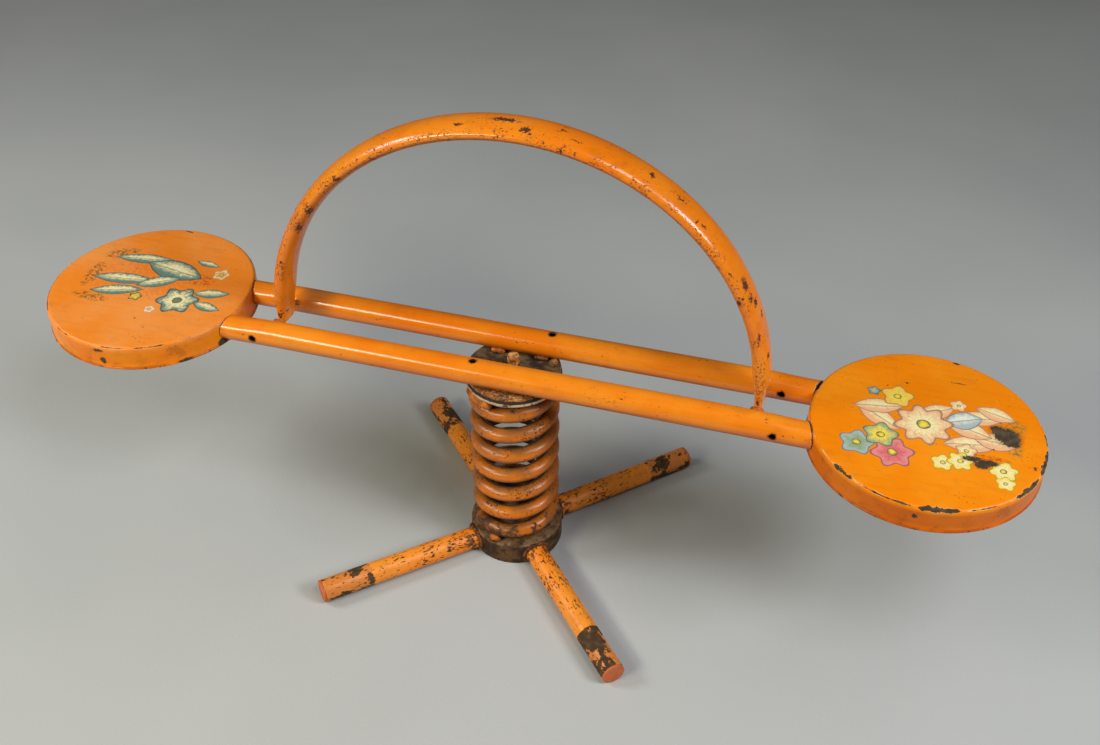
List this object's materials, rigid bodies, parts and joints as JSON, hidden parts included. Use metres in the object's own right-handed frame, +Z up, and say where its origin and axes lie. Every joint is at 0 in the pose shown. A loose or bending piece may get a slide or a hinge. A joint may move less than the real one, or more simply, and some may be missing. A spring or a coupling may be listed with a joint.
{
  "type": "spring seesaw",
  "caption": "Child's spring seesaw: round pan seats at both ends of two tube rails, an arched tube handle, a heavy coil spring and a floor cross of tube legs.",
  "frame": {"origin": "on the floor, at the coil spring's axis", "axes": "+X along the rails towards the right seat, +Y towards the back, +Z up"},
  "size_m": [1.2016, 0.4126, 0.6093],
  "materials": {
    "hub_steel": "bare steel gone brown with rust",
    "plate_steel": "dark rusted steel with worn bright edges",
    "hardware_steel": "dull rusted steel",
    "bolt_paint": "orange paint, worn and dusty",
    "rail_paint": "glossy orange paint with fine chips",
    "handle_paint": "glossy orange paint, chipped to bare metal",
    "seat_left_paint": "orange paint with a faded floral transfer",
    "seat_right_paint": "bright orange paint with a scraped floral transfer",
    "leg_paint": "orange paint, pitted with rust",
    "plug_paint": "thin orange paint over rust",
    "spring_paint": "worn orange paint with rust and grime",
    "weld_bead": "painted-over weld metal, rusting"
  },
  "bodies": {
    "base": {"base_hub": "hub_steel", "leg_front_right": "leg_paint", "leg_back_right": "leg_paint", "leg_back_left": "leg_paint", "leg_front_left": "leg_paint", "leg_plug_front_right": "plug_paint", "leg_plug_back_right": "plug_paint", "leg_plug_back_left": "plug_paint", "leg_plug_front_left": "plug_paint", "leg_weld_front_right": "weld_bead", "leg_weld_back_right": "weld_bead", "leg_weld_back_left": "weld_bead", "leg_weld_front_left": "weld_bead", "spring_weld_lower": "weld_bead"},
    "spring_lower": {"spring_coil_1": "spring_paint"},
    "spring_middle": {"spring_coil_2": "spring_paint"},
    "spring_upper": {"spring_coil_3": "spring_paint"},
    "beam": {"spring_weld_upper": "weld_bead", "plate_lower": "plate_steel", "plate_upper": "plate_steel", "centre_bolt": "bolt_paint", "centre_washer": "hardware_steel", "centre_nut": "hardware_steel", "side_bolt_right": "bolt_paint", "side_bolt_left": "bolt_paint", "rail_front": "rail_paint", "rail_rear": "rail_paint", "rail_weld_front_left": "weld_bead", "rail_weld_front_right": "weld_bead", "rail_weld_rear_left": "weld_bead", "rail_weld_rear_right": "weld_bead", "handle_arch": "handle_paint", "arch_weld_front_left": "weld_bead", "arch_weld_front_right": "weld_bead", "arch_weld_rear_left": "weld_bead", "arch_weld_rear_right": "weld_bead", "seat_left": "seat_left_paint", "seat_right": "seat_right_paint", "spring_coil_4": "spring_paint"}
  },
  "joints": [
    {"name": "sway", "type": "hinge", "parent": "base", "child": "spring_lower", "pos_m": [0, 0, 0.065], "axis": [1, 0, 0], "range_deg": [-6, 6], "stiffness_Nm_per_rad": 600, "deforming": ["spring_coil_1", "spring_coil_2", "spring_coil_3", "spring_coil_4"]},
    {"name": "rock", "type": "hinge", "parent": "spring_lower", "child": "spring_middle", "pos_m": [0, 0, 0.1475], "axis": [0, 1, 0], "range_deg": [-12, 12], "stiffness_Nm_per_rad": 600, "deforming": ["spring_coil_1", "spring_coil_2", "spring_coil_3", "spring_coil_4"]},
    {"name": "bounce", "type": "slide", "parent": "spring_middle", "child": "spring_upper", "axis": [0, 0, 1], "range_m": [-0.002, 0.001], "stiffness_N_per_m": 230000, "deforming": ["spring_coil_1", "spring_coil_2", "spring_coil_3", "spring_coil_4"]},
    {"name": "twist", "type": "hinge", "parent": "spring_upper", "child": "beam", "pos_m": [0, 0, 0.24], "axis": [0, 0, 1], "range_deg": [-4, 4], "stiffness_Nm_per_rad": 640, "deforming": ["spring_coil_1", "spring_coil_2", "spring_coil_3", "spring_coil_4"]}
  ]
}
